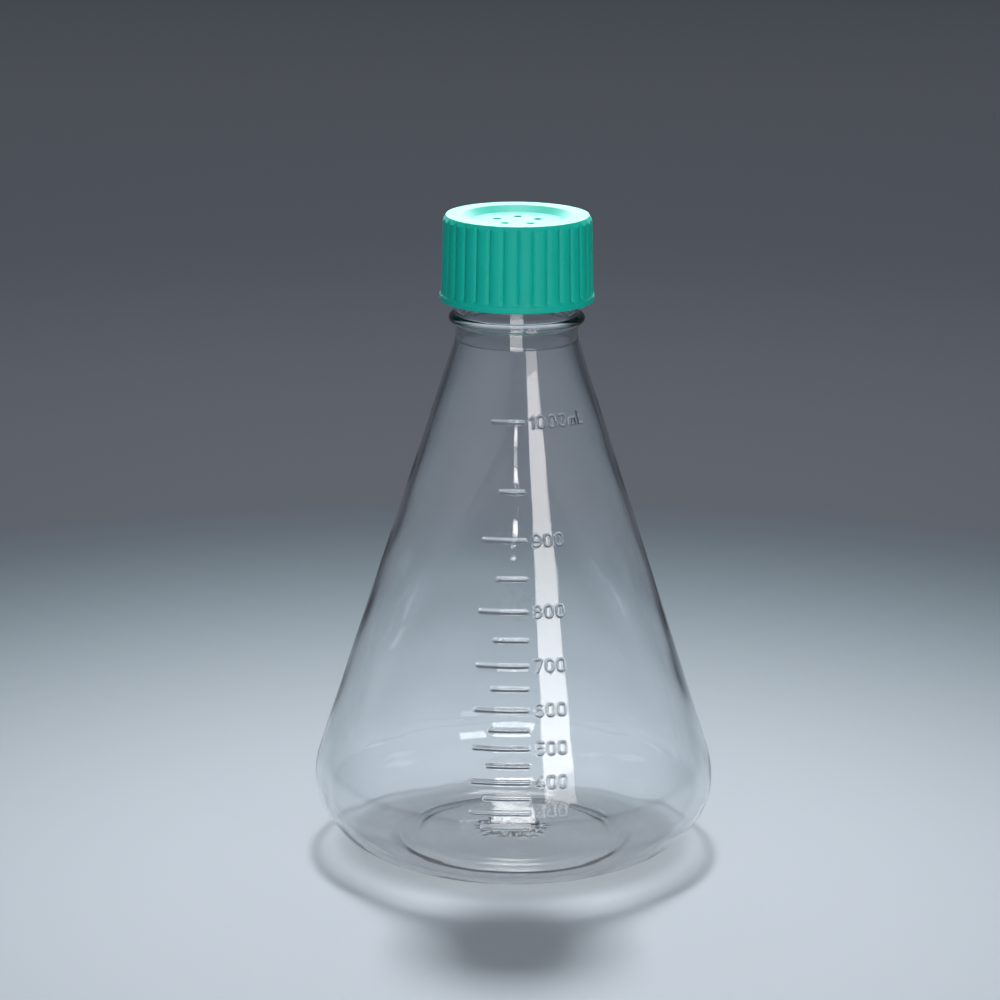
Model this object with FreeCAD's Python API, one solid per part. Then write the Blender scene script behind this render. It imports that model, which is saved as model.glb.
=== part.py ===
import FreeCAD, Part
import math
import os

from FreeCAD import Vector

# A one-litre Erlenmeyer shake flask of clear moulded plastic, with a ribbed, vented screw cap.
# Millimetres, +Z up. The origin is the centre of the standing ring, on the surface it stands on.
# The volume marks face -Y.

# Flask body, outside of the wall, from the floor up
HEEL_LOWER_RADIUS = 26.0  # arc that leaves the floor
HEEL_UPPER_RADIUS = 20.0  # arc between it and the widest level
HEEL_BREAK = math.radians(33.4)  # below the horizontal, where the two heel arcs meet
BELLY_RADIUS = 63.65  # the widest level
BELLY_ARC = 26.5  # arc from the widest level into the cone
CONE_ANGLE = math.radians(17.8)  # the cone's side against the vertical
SHOULDER_LOW = 165.0  # height where the cone runs into the neck
SHOULDER_RISE = 0.9
WAIST_RADIUS = 19.2  # plain neck between the shoulder and the bead
BEAD_LOW = 170.3
BEAD_HEIGHT = 3.0
BEAD_RADIUS = 21.3
FINISH_RADIUS = 19.35  # neck above the bead, which is the root of its thread
LIP_HEIGHT = 200.7
LIP_ROUND = 0.7

# Wall and base
WALL = 1.35
NECK_WALL = 2.1  # the neck is thicker than the blown side
BORE_TAPER = 3.0  # height over which the inside narrows from the cone to the bore
BASE_THICKNESS = 2.0
LAND_INNER = 34.8  # the flat ring it stands on runs from here out to the heel
PUNT_RADIUS = 34.0
PUNT_STEP = 0.8
PUNT_HEIGHT = 2.4
GATE_RADIUS = 10.0
GATE_RISE = 0.7

# Volume marks: low round beads raised on the cone
FIRST_MARK = 250
LAST_MARK = 1000
MARK_STEP = 50
MARK_BEAD = 0.75  # radius of the bead's crown
MARK_SUNK = 0.3  # how far its centre lies inside the wall's surface
LONG_MARK_LEAST = 9.2  # each hundred, at the last mark
LONG_MARK_GAIN = 8.7  # how much longer the mark is at the first numeral
SHORT_MARK_LEAST = 5.8  # each fifty between
SHORT_MARK_GAIN = 8.0
MARK_BEND = 0.94  # its own bend against the wall's, so that it fades slightly at its ends
MARK_END = math.radians(4.4)  # all marks end here, to the right of the front
FIRST_NUMERAL = 300
FIRST_NUMERAL_LIFT = 0.4  # the lowest numeral stands a little high, clear of the belly's bend
NUMERAL_STROKE = 0.38  # radius of the round stroke
NUMERAL_PROUD = 0.1  # how far the strokes' centres stand off the wall
NUMERAL_HEIGHT = 4.4 - 2 * NUMERAL_STROKE  # between the strokes' centres
NUMERAL_WIDTH = 3.0 - 2 * NUMERAL_STROKE
SEAM_TURN = 35.0  # turns each stroke's own seam off the wall's surface
NUMERAL_SPACE = 1.3  # from one numeral's last stroke to the next one's first
NUMERAL_GAP = 2.6  # from a mark's end to its numeral's first stroke

# Screw thread, right-handed, one start
LEAD = 6.0
THREAD_HALF_BASE = 1.45
THREAD_HALF_CREST = 0.55
THREAD_ROOTED = 0.5  # how far a ridge is sunk into its wall
NECK_THREAD_RADIUS = 21.1
NECK_THREAD_LOW = 184.5
NECK_THREAD_TURNS = 2.0
CAP_BORE_RADIUS = 21.4
CAP_THREAD_RADIUS = 19.7
CAP_THREAD_BELOW = 2.2  # the cap's ridge lies this far under the neck's
CAP_THREAD_FIRST_TURN = -0.25
CAP_THREAD_LAST_TURN = 2.0
RUN_OUT = 0.12  # share of a turn over which a ridge fades at each end
SECTIONS_PER_TURN = 20

# Cap
CAP_BOTTOM = 177.5
CAP_TOP = 204.3
BAND_RADIUS = 24.15
BAND_HEIGHT = 3.3
RIB_COUNT = 32
RIB_PHASE = math.radians(-4.9)  # first rib's centre, to the right of the front
RIB_HALF_WIDTH = math.radians(4.9)
RIB_RADIUS_LOW = 23.85
RIB_RADIUS_TOP = 23.2
RIB_DEPTH = 0.8
TOP_FLAT_RADIUS = 22.25
TOP_BEVEL = 1.6
RECESS_RADIUS = 16.93
RECESS_FLOOR_RADIUS = 14.3
RECESS_DEPTH = 1.8
PLATE_THICKNESS = 1.6
BOSS_RADIUS = 16.2
GROOVE_CEILING = 202.3  # the sealing ring's groove, around the boss

# Vent, sealing ring
VENT_COUNT = 5
VENT_RADIUS = 1.25
VENT_CIRCLE = 6.7
MEMBRANE_RADIUS = 11.5
MEMBRANE_THICKNESS = 0.25
CLAMP_INNER = 9.0
CLAMP_HEIGHT = 1.0
SEAT_INNER = 11.7
SEAT_OUTER = 12.7
SEAT_HEIGHT = 1.6
SEAL_INNER = 16.4
SEAL_OUTER = 21.0

UP = Vector(0, 0, 1)
ORIGIN = Vector(0, 0, 0)


def section_point(r, z):
    """A point of a half section, in the XZ plane."""
    return Vector(r, 0, z)


def line(a, b):
    return Part.LineSegment(section_point(*a), section_point(*b)).toShape()


def arc(centre, radius, start, end):
    """Arc of a half section; the angles are above the horizontal, in radians."""
    angles = (start, (start + end) / 2, end)
    return Part.Arc(*[section_point(*on_arc(centre, radius, t)) for t in angles]).toShape()


def on_arc(centre, radius, angle):
    return centre[0] + radius * math.cos(angle), centre[1] + radius * math.sin(angle)


def turned(edges):
    """The solid that a closed half section sweeps round the axis."""
    face = Part.Face(Part.Wire(Part.__sortEdges__(edges)))
    return face.revolve(ORIGIN, UP, 360)


def turned_polygon(points):
    closed = points + points[:1]
    return turned([line(a, b) for a, b in zip(closed, closed[1:])])


def ring(inner, outer, low, high):
    return turned_polygon([(inner, low), (outer, low), (outer, high), (inner, high)])


# Levels and centres that follow from the driving dimensions
BELLY_HEIGHT = HEEL_LOWER_RADIUS - (HEEL_LOWER_RADIUS - HEEL_UPPER_RADIUS) * math.sin(HEEL_BREAK)
UPPER_CENTRE = (BELLY_RADIUS - HEEL_UPPER_RADIUS, BELLY_HEIGHT)
BREAK_POINT = on_arc(UPPER_CENTRE, HEEL_UPPER_RADIUS, -HEEL_BREAK)
LOWER_CENTRE = (BREAK_POINT[0] - HEEL_LOWER_RADIUS * math.cos(HEEL_BREAK), HEEL_LOWER_RADIUS)
BELLY_CENTRE = (BELLY_RADIUS - BELLY_ARC, BELLY_HEIGHT)
BORE_RADIUS = WAIST_RADIUS - NECK_WALL
BEAD_ROUND = BEAD_HEIGHT / 2
CEILING = CAP_TOP - RECESS_DEPTH - PLATE_THICKNESS  # underside of the cap's top


def cone_radius(z, inset=0.0):
    """Radius of the cone's wall at a height, inset square to the wall."""
    r, low = on_arc(BELLY_CENTRE, BELLY_ARC - inset, CONE_ANGLE)
    return r - (z - low) * math.tan(CONE_ANGLE)


def side_radius(z, inset):
    """Radius of the wall at any height up to the shoulder, inset square to the wall."""
    if z >= BELLY_CENTRE[1] + (BELLY_ARC - inset) * math.sin(CONE_ANGLE):
        return cone_radius(z, inset)
    if z >= BELLY_HEIGHT:
        centre, radius = BELLY_CENTRE, BELLY_ARC - inset
    elif z >= UPPER_CENTRE[1] - (HEEL_UPPER_RADIUS - inset) * math.sin(HEEL_BREAK):
        centre, radius = UPPER_CENTRE, HEEL_UPPER_RADIUS - inset
    else:
        centre, radius = LOWER_CENTRE, HEEL_LOWER_RADIUS - inset
    return centre[0] + math.sqrt(max(radius**2 - (z - centre[1]) ** 2, 0))


def punt_height(r):
    """Underside of the base inside the standing ring, a shallow dome."""
    return PUNT_HEIGHT - (PUNT_HEIGHT - PUNT_STEP) * (r / PUNT_RADIUS) ** 2


def dome(rise, outer, inner):
    """Arc of the base's dome, raised by rise, from radius outer to radius inner."""
    radii = (outer, (outer + inner) / 2, inner)
    return Part.Arc(*[section_point(r, punt_height(r) + rise) for r in radii]).toShape()


def wall_edges(inset):
    """The heel, belly and cone as tangent edges, inset square to the wall."""
    cone_low = on_arc(BELLY_CENTRE, BELLY_ARC - inset, CONE_ANGLE)
    cone_end = SHOULDER_LOW - inset / 2
    return [
        arc(LOWER_CENTRE, HEEL_LOWER_RADIUS - inset, -math.pi / 2, -HEEL_BREAK),
        arc(UPPER_CENTRE, HEEL_UPPER_RADIUS - inset, -HEEL_BREAK, 0),
        arc(BELLY_CENTRE, BELLY_ARC - inset, 0, CONE_ANGLE),
        line(cone_low, (cone_radius(cone_end, inset), cone_end)),
    ]


def bottle():
    """The blown body with its neck, without thread or marks."""
    outer_base = [
        line((0, PUNT_HEIGHT), (GATE_RADIUS, PUNT_HEIGHT)),
        line((GATE_RADIUS, PUNT_HEIGHT), (GATE_RADIUS, punt_height(GATE_RADIUS))),
        dome(0, GATE_RADIUS, PUNT_RADIUS),
        line((PUNT_RADIUS, PUNT_STEP), (LAND_INNER, 0)),
        line((LAND_INNER, 0), (LOWER_CENTRE[0], 0)),
    ]
    shoulder_high = SHOULDER_LOW + SHOULDER_RISE
    bead_core = BEAD_RADIUS - BEAD_ROUND
    bead_middle = BEAD_LOW + BEAD_ROUND
    bead_high = BEAD_LOW + BEAD_HEIGHT
    neck_outside = [
        line((cone_radius(SHOULDER_LOW), SHOULDER_LOW), (WAIST_RADIUS, shoulder_high)),
        line((WAIST_RADIUS, shoulder_high), (WAIST_RADIUS, BEAD_LOW)),
        line((WAIST_RADIUS, BEAD_LOW), (bead_core, BEAD_LOW)),
        arc((bead_core, bead_middle), BEAD_ROUND, -math.pi / 2, math.pi / 2),
        line((bead_core, bead_high), (FINISH_RADIUS, bead_high)),
        line((FINISH_RADIUS, bead_high), (FINISH_RADIUS, LIP_HEIGHT - LIP_ROUND)),
    ]
    lip_level = LIP_HEIGHT - LIP_ROUND
    lip = [
        arc((FINISH_RADIUS - LIP_ROUND, lip_level), LIP_ROUND, 0, math.pi / 2),
        line((FINISH_RADIUS - LIP_ROUND, LIP_HEIGHT), (BORE_RADIUS + LIP_ROUND, LIP_HEIGHT)),
        arc((BORE_RADIUS + LIP_ROUND, lip_level), LIP_ROUND, math.pi / 2, math.pi),
    ]
    cone_end = SHOULDER_LOW - WALL / 2
    bore_low = cone_end + BORE_TAPER
    neck_inside = [
        line((BORE_RADIUS, lip_level), (BORE_RADIUS, bore_low)),
        line((BORE_RADIUS, bore_low), (cone_radius(cone_end, WALL), cone_end)),
    ]
    gate_top = punt_height(GATE_RADIUS) + BASE_THICKNESS + GATE_RISE
    gate_edge = GATE_RADIUS + GATE_RISE
    inner_base = [
        line((LOWER_CENTRE[0], WALL), (PUNT_RADIUS, PUNT_STEP + BASE_THICKNESS)),
        dome(BASE_THICKNESS, PUNT_RADIUS, gate_edge),
        line((gate_edge, punt_height(gate_edge) + BASE_THICKNESS), (GATE_RADIUS, gate_top)),
        line((GATE_RADIUS, gate_top), (0, gate_top)),
        line((0, gate_top), (0, PUNT_HEIGHT)),
    ]
    edges = outer_base + wall_edges(0) + neck_outside + lip + neck_inside + wall_edges(WALL) + inner_base
    return turned(edges)


def mark_heights():
    """Height of each volume mark: the level that its volume of liquid reaches inside."""
    step = 0.02
    heights = {}
    volume = 0.0
    z = WALL
    mark = FIRST_MARK
    while mark <= LAST_MARK:
        r = side_radius(z, WALL)
        floor = PUNT_STEP + BASE_THICKNESS
        hidden = PUNT_RADIUS if z < floor else 0.0
        volume += math.pi * (r**2 - hidden**2) * step / 1000
        if z - step < floor <= z:
            dome_height = PUNT_HEIGHT - PUNT_STEP
            volume -= math.pi * PUNT_RADIUS**2 * dome_height / 2 / 1000
        z += step
        if volume >= mark:
            heights[mark] = z
            mark += MARK_STEP
    return heights


def mark_length(mark):
    """Long bars at each hundred and shorter ones between, all shorter towards the neck."""
    emptied = (LAST_MARK - mark) / (LAST_MARK - FIRST_NUMERAL)
    if mark % 100:
        return SHORT_MARK_LEAST + SHORT_MARK_GAIN * emptied**0.75
    return LONG_MARK_LEAST + LONG_MARK_GAIN * emptied**0.5


def outward(angle):
    """Horizontal direction at an angle to the right of the front."""
    return Vector(math.sin(angle), -math.cos(angle), 0)


def mark_bar(z, length):
    """A bead along the wall's surface, with round ends, ending at MARK_END on the right."""
    r = side_radius(z, 0) - MARK_SUNK
    middle = MARK_END - length / r / 2
    bend = MARK_BEND * r
    centre = outward(middle) * (r - bend) + UP * z
    half_sweep = length / bend / 2
    bar = Part.makeTorus(bend, MARK_BEAD, centre, UP, -180, 180, math.degrees(2 * half_sweep))
    bar.rotate(centre, UP, math.degrees(middle - half_sweep) - 90)
    ends = []
    for angle in (middle - half_sweep, middle + half_sweep):
        ends.append(Part.makeSphere(MARK_BEAD, centre + outward(angle) * bend, outward(angle)))
    return [bar] + ends


def straight(start, end, round_ends="both"):
    """A round stroke on the glyph plane from start to end."""
    a = Vector(*start, 0)
    b = Vector(*end, 0)
    solids = [Part.makeCylinder(NUMERAL_STROKE, (b - a).Length, a, b - a)]
    solids[0].rotate(a, b - a, SEAM_TURN)
    if round_ends in ("both", "start"):
        solids.append(Part.makeSphere(NUMERAL_STROKE, a))
    if round_ends in ("both", "end"):
        solids.append(Part.makeSphere(NUMERAL_STROKE, b))
    return solids


def bent(centre, radius, first, last, round_ends="both"):
    """A round stroke along an arc, counter-clockwise from first to last in degrees."""
    middle = Vector(*centre, 0)
    turn = Part.makeTorus(radius, NUMERAL_STROKE, middle, UP, -180, 180, last - first)
    turn.rotate(middle, UP, first)
    solids = [turn]
    for name, degrees in (("start", first), ("end", last)):
        if round_ends in ("both", name) and last - first < 360:
            way = Vector(math.cos(math.radians(degrees)), math.sin(math.radians(degrees)), 0)
            solids.append(Part.makeSphere(NUMERAL_STROKE, middle + way * radius))
    return solids


def glyph(sign):
    """The strokes of one numeral or letter, as solids, and its width. It stands on y = 0 from x = 0."""
    w = NUMERAL_WIDTH
    h = NUMERAL_HEIGHT
    half = w / 2
    quarter = h / 4
    low = half  # centre height of a full bowl that stands on the base line
    high = h - half
    if sign == "0":
        sides = straight((0, low), (0, high), "") + straight((w, low), (w, high), "")
        return sides + bent((half, high), half, 0, 180, "") + bent((half, low), half, 180, 360, ""), w
    if sign == "1":
        return straight((0.8, 0), (0.8, h)) + straight((0, h - 0.8), (0.8, h), "start"), 0.8
    if sign == "3":
        upper = bent((half, 3 * quarter), quarter, -90, 150, "end")
        return upper + bent((half, quarter), quarter, -150, 90), w
    if sign == "4":
        leg = 0.7 * w
        bar = 0.28 * h
        slant = straight((leg, h), (0, bar))
        return slant + straight((0, bar), (w, bar), "end") + straight((leg, 0), (leg, h), "start"), w
    if sign == "5":
        back = 0.1 * w
        bowl = bent((half, low), half, -150, 130)
        edge = (half + half * math.cos(math.radians(130)), low + half * math.sin(math.radians(130)))
        return bowl + straight(edge, (back, h), "end") + straight((back, h), (w, h), "end"), w
    if sign == "6":
        bowl = bent((half, low), half, 0, 360)
        return bowl + straight((0, low), (0, high), "") + bent((half, high), half, 40, 180, "start"), w
    if sign == "7":
        return straight((0, h), (w, h)) + straight((w, h), (0.35 * w, 0), "end"), w
    if sign == "8":
        small = 0.24 * h
        large = 0.28 * h
        return bent((half, h - small), small, 0, 360) + bent((half, large), large, 0, 360), w
    if sign == "9":
        bowl = bent((half, high), half, 0, 360)
        return bowl + straight((w, low), (w, high), "") + bent((half, low), half, 220, 360, "start"), w
    if sign == "m":
        arch = 0.62
        top = 0.58 * h - arch
        strokes = straight((0, 0), (0, top + arch))
        for k in (1, 3):
            strokes += bent((k * arch, top), arch, 0, 180, "")
            strokes += straight(((k + 1) * arch, top), ((k + 1) * arch, 0), "end")
        return strokes, 4 * arch
    return straight((0, h), (0, 0)) + straight((0, 0), (0.75 * w, 0), "end"), 0.75 * w


def side_slope(z):
    """The wall's lean at a height, in radians from the vertical; positive leans in."""
    step = 0.5
    return math.atan2(side_radius(z - step, 0) - side_radius(z + step, 0), 2 * step)


def numeral(text, z):
    """Raised characters beside a mark, each one flat on the wall's tangent plane at its own middle."""
    r = side_radius(z, 0)
    lean = side_slope(z)
    along = MARK_END * r + NUMERAL_GAP
    solids = []
    for sign in text:
        strokes, width = glyph(sign)
        angle = (along + width / 2) / r
        right = Vector(math.cos(angle), math.sin(angle), 0)
        normal = outward(angle) * math.cos(lean) + UP * math.sin(lean)
        upward = normal.cross(right)
        middle = outward(angle) * r + UP * z + normal * NUMERAL_PROUD
        start = middle - right * (width / 2) - upward * (NUMERAL_HEIGHT / 2)
        place = FreeCAD.Matrix(
            right.x, upward.x, normal.x, start.x,
            right.y, upward.y, normal.y, start.y,
            right.z, upward.z, normal.z, start.z,
            0, 0, 0, 1,
        )  # fmt: skip
        whole = strokes[0].multiFuse(strokes[1:])
        solids.append(whole.transformed(place))
        along += width + NUMERAL_SPACE
    return solids


def ridge(root, crest, helix_low, first_turn, last_turn):
    """A helical ridge. root is the wall's radius, crest the ridge's; helix_low its centre at turn 0."""
    side = 1 if crest > root else -1
    count = round((last_turn - first_turn) * SECTIONS_PER_TURN)
    wires = []
    for i in range(count + 1):
        turn = first_turn + (last_turn - first_turn) * i / count
        from_end = min(turn - first_turn, last_turn - turn)
        grown = min(1.0, from_end / RUN_OUT)
        top = root + side * (0.05 + (abs(crest - root) - 0.05) * grown)
        sunk = root - side * THREAD_ROOTED
        flank = (THREAD_HALF_BASE - THREAD_HALF_CREST) / abs(crest - root)
        half_top = THREAD_HALF_BASE - flank * abs(top - root)
        half_sunk = THREAD_HALF_BASE + flank * THREAD_ROOTED
        middle = helix_low + LEAD * turn
        corners = [
            (sunk, middle - half_sunk),
            (top, middle - half_top),
            (top, middle + half_top),
            (sunk, middle + half_sunk),
        ]
        angle = 2 * math.pi * turn
        way = Vector(math.cos(angle), math.sin(angle), 0)
        points = [way * r + UP * z for r, z in corners]
        wires.append(Part.makePolygon(points + points[:1]))
    return Part.makeLoft(wires, True, False)


def flask_body():
    tools = [ridge(FINISH_RADIUS, NECK_THREAD_RADIUS, NECK_THREAD_LOW, 0, NECK_THREAD_TURNS)]
    for mark, z in mark_heights().items():
        tools.extend(mark_bar(z, mark_length(mark)))
        if mark % 100 == 0 and mark >= FIRST_NUMERAL:
            text = str(mark) + ("mL" if mark == LAST_MARK else "")
            lift = FIRST_NUMERAL_LIFT if mark == FIRST_NUMERAL else 0
            tools.extend(numeral(text, z + lift))
    return bottle().multiFuse(tools)


def rib_outline(crest, z):
    """Closed outline of the ribbed skirt: a crowned arc for each rib and a narrow flat between ribs."""
    root = crest - RIB_DEPTH
    pitch = 2 * math.pi / RIB_COUNT
    edges = []
    for k in range(RIB_COUNT):
        middle = RIB_PHASE + k * pitch
        start = outward(middle - RIB_HALF_WIDTH) * root + UP * z
        top = outward(middle) * crest + UP * z
        end = outward(middle + RIB_HALF_WIDTH) * root + UP * z
        following = outward(middle + pitch - RIB_HALF_WIDTH) * root + UP * z
        edges.append(Part.Arc(start, top, end).toShape())
        edges.append(Part.LineSegment(end, following).toShape())
    return Part.Wire(edges)


def cap_blank():
    """The cap's outside, solid: ribbed skirt with the top's bevel, and the plain band at the bottom."""
    outlines = [rib_outline(RIB_RADIUS_LOW, CAP_BOTTOM), rib_outline(RIB_RADIUS_TOP, CAP_TOP)]
    ribs = Part.makeLoft(outlines, True, True)
    spread = RIB_RADIUS_LOW + 2
    bevel_slope = (RIB_RADIUS_TOP - TOP_FLAT_RADIUS) / TOP_BEVEL
    bevel_low = CAP_TOP - (spread - TOP_FLAT_RADIUS) / bevel_slope
    envelope = turned_polygon(
        [(0, CAP_BOTTOM), (spread, CAP_BOTTOM), (spread, bevel_low), (TOP_FLAT_RADIUS, CAP_TOP), (0, CAP_TOP)]
    )
    band_top = CAP_BOTTOM + BAND_HEIGHT
    chamfer = BAND_RADIUS - RIB_RADIUS_LOW + RIB_DEPTH
    band = turned_polygon(
        [
            (0, CAP_BOTTOM),
            (BAND_RADIUS - 0.3, CAP_BOTTOM),
            (BAND_RADIUS, CAP_BOTTOM + 0.3),
            (BAND_RADIUS, band_top - chamfer / 2),
            (BAND_RADIUS - chamfer, band_top),
            (0, band_top),
        ]
    )
    return ribs.common(envelope).fuse(band)


def cap_shell():
    floor = CAP_TOP - RECESS_DEPTH
    above = CAP_TOP + 1
    recess = turned_polygon(
        [
            (0, floor),
            (RECESS_FLOOR_RADIUS, floor),
            (RECESS_RADIUS, CAP_TOP),
            (RECESS_RADIUS, above),
            (0, above),
        ]
    )
    below = CAP_BOTTOM - 1
    mouth = CAP_BORE_RADIUS + 0.5
    hollow = turned_polygon(
        [
            (0, below),
            (mouth, below),
            (mouth, CAP_BOTTOM),
            (CAP_BORE_RADIUS, CAP_BOTTOM + 0.5),
            (CAP_BORE_RADIUS, GROOVE_CEILING),
            (BOSS_RADIUS, GROOVE_CEILING),
            (BOSS_RADIUS, CEILING),
            (0, CEILING),
        ]
    )
    thread = ridge(
        CAP_BORE_RADIUS,
        CAP_THREAD_RADIUS,
        NECK_THREAD_LOW - CAP_THREAD_BELOW,
        CAP_THREAD_FIRST_TURN,
        CAP_THREAD_LAST_TURN,
    )
    seat = ring(SEAT_INNER, SEAT_OUTER, CEILING - SEAT_HEIGHT, CEILING + PLATE_THICKNESS / 2)
    vents = []
    for k in range(VENT_COUNT):
        angle = math.pi + 2 * math.pi * k / VENT_COUNT
        start = outward(angle) * VENT_CIRCLE + UP * (CEILING - 1)
        vents.append(Part.makeCylinder(VENT_RADIUS, PLATE_THICKNESS + 2, start, UP))
    return cap_blank().cut([recess, hollow] + vents).multiFuse([thread, seat])


def vent_membrane():
    underside = UP * (CEILING - MEMBRANE_THICKNESS)
    return Part.makeCylinder(MEMBRANE_RADIUS, MEMBRANE_THICKNESS, underside, UP)


def membrane_clamp_ring():
    top = CEILING - MEMBRANE_THICKNESS
    return ring(CLAMP_INNER, MEMBRANE_RADIUS, top - CLAMP_HEIGHT, top)


def sealing_ring():
    return ring(SEAL_INNER, SEAL_OUTER, LIP_HEIGHT, GROOVE_CEILING)


def write(name, shape):
    """Writes one node's STEP file and says what it holds."""
    if len(shape.Solids) == 1:
        shape = shape.Solids[0]
    box = shape.BoundBox
    print(f"{name}: valid {shape.isValid()}, solids {len(shape.Solids)}, faces {len(shape.Faces)}")
    print(f"  {shape.Volume / 1000:.2f} mL, z {box.ZMin:.2f} to {box.ZMax:.2f}, radius {box.XMax:.2f}")
    shape.exportStep(os.path.join("parts", name + ".step"))


os.makedirs("parts", exist_ok=True)
for label, make in (
    ("flask_body", flask_body),
    ("cap_shell", cap_shell),
    ("vent_membrane", vent_membrane),
    ("membrane_clamp_ring", membrane_clamp_ring),
    ("sealing_ring", sealing_ring),
):
    write(label, make())
print("marks at", {mark: round(z, 1) for mark, z in mark_heights().items()})
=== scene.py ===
import math

import bpy
import numpy as np
from mathutils import Matrix, Vector


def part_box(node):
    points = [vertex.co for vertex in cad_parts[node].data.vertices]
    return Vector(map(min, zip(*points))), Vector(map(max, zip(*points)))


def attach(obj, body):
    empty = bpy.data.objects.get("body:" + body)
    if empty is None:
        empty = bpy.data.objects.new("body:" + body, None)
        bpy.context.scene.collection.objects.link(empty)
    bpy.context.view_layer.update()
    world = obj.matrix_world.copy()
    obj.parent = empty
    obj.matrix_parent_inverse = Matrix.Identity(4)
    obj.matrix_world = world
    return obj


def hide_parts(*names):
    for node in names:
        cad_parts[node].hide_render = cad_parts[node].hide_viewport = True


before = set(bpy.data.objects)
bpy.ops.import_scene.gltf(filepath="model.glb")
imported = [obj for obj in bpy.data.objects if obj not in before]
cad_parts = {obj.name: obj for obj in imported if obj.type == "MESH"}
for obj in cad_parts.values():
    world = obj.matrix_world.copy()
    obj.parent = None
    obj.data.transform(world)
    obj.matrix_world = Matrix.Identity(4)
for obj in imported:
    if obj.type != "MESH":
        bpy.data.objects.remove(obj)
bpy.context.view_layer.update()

# A clear one-litre plastic Erlenmeyer shake flask with a ribbed, vented green screw cap.
# Shapes are worked out in millimetres in the CAD frame and written in metres.

MM = 0.001


def node_span(name):
    """Lowest and highest Z of a CAD node, in millimetres."""
    low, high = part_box(name)
    return low[2] / MM, high[2] / MM


def node_radius(name):
    """Radius of a round CAD node, in millimetres."""
    low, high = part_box(name)
    return (high[0] - low[0]) / 2 / MM


# ---------------------------------------------------------------- driving dimensions, millimetres

LIP_HEIGHT = node_span("flask_body")[1]
CAP_BOTTOM, CAP_TOP = node_span("cap_shell")
SEAL_LOW, SEAL_HIGH = node_span("sealing_ring")
MEMBRANE_LOW, MEMBRANE_HIGH = node_span("vent_membrane")
CLAMP_LOW, CLAMP_HIGH = node_span("membrane_clamp_ring")

# Flask body
BELLY_RADIUS = node_radius("flask_body")
HEEL_LOWER_RADIUS = 26.0
HEEL_UPPER_RADIUS = 20.0
HEEL_BREAK = math.radians(33.4)
BELLY_ARC = 26.5
CONE_ANGLE = math.radians(17.8)
SHOULDER_LOW = 165.0
SHOULDER_RISE = 0.9
WAIST_RADIUS = 19.2
BEAD_LOW = 170.3
BEAD_HEIGHT = 3.0
BEAD_RADIUS = 21.3
FINISH_RADIUS = 19.35
LIP_ROUND = 0.7
WALL = 1.35
NECK_WALL = 2.1
BASE_THICKNESS = 2.0
LAND_INNER = 34.8
PUNT_RADIUS = 34.0
PUNT_STEP = 0.8
PUNT_HEIGHT = 2.4
GATE_RADIUS = 10.0
GATE_RISE = 0.45
GATE_ROUGHNESS = 0.42

# Marks and numerals
FIRST_MARK = 250
LAST_MARK = 1000
MARK_STEP = 50
FIRST_NUMERAL = 300
FIRST_NUMERAL_LIFT = 0.4
MARK_END = math.radians(4.4)
LONG_MARK_LEAST = 9.2
LONG_MARK_GAIN = 8.7
SHORT_MARK_LEAST = 5.8
SHORT_MARK_GAIN = 8.0
MARK_PROUD = 0.42
MARK_REACH = 0.98
NUMERAL_STROKE = 0.38
NUMERAL_HEIGHT = 4.4 - 2 * NUMERAL_STROKE
NUMERAL_WIDTH = 3.0 - 2 * NUMERAL_STROKE
NUMERAL_SPACE = 1.3
NUMERAL_GAP = 2.6
NUMERAL_PROUD = 0.42
NUMERAL_REACH = 0.44

# Thread
LEAD = 6.0
THREAD_HALF_BASE = 1.45
THREAD_HALF_CREST = 0.55
NECK_THREAD_RADIUS = 21.1
NECK_THREAD_LOW = 184.5
NECK_THREAD_TURNS = 2.0
CAP_BORE_RADIUS = 21.4
CAP_THREAD_RADIUS = 19.7
CAP_THREAD_BELOW = 2.2
CAP_THREAD_FIRST_TURN = -0.25
CAP_THREAD_LAST_TURN = 2.0
RUN_OUT = 0.12

# Cap
BAND_RADIUS = node_radius("cap_shell")
BAND_HEIGHT = 3.3
RIB_COUNT = 32
RIB_PHASE = math.radians(-4.9)
RIB_RADIUS_LOW = 23.85
RIB_RADIUS_TOP = 23.2
RIB_DEPTH = 0.65
TOP_FLAT_RADIUS = 22.25
TOP_BEVEL = 1.6
RECESS_RADIUS = 16.93
RECESS_FLOOR_RADIUS = 14.3
RECESS_DEPTH = 1.8
CEILING = MEMBRANE_HIGH
BOSS_RADIUS = 16.2
VENT_COUNT = 5
VENT_RADIUS = 1.25
VENT_CIRCLE = 6.7
SEAT_INNER = 11.7
SEAT_OUTER = 12.7
SEAT_HEIGHT = 1.6
CLAMP_INNER = 9.0
SEAL_INNER = 16.4

# Mesh density
FINE = 8  # each coarse cell that a mark crosses is divided this many times each way
BODY_COLUMNS = 240
CAP_COLUMNS = RIB_COUNT * 16
RING_COLUMNS = 160

# ---------------------------------------------------------------- outlines


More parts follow.
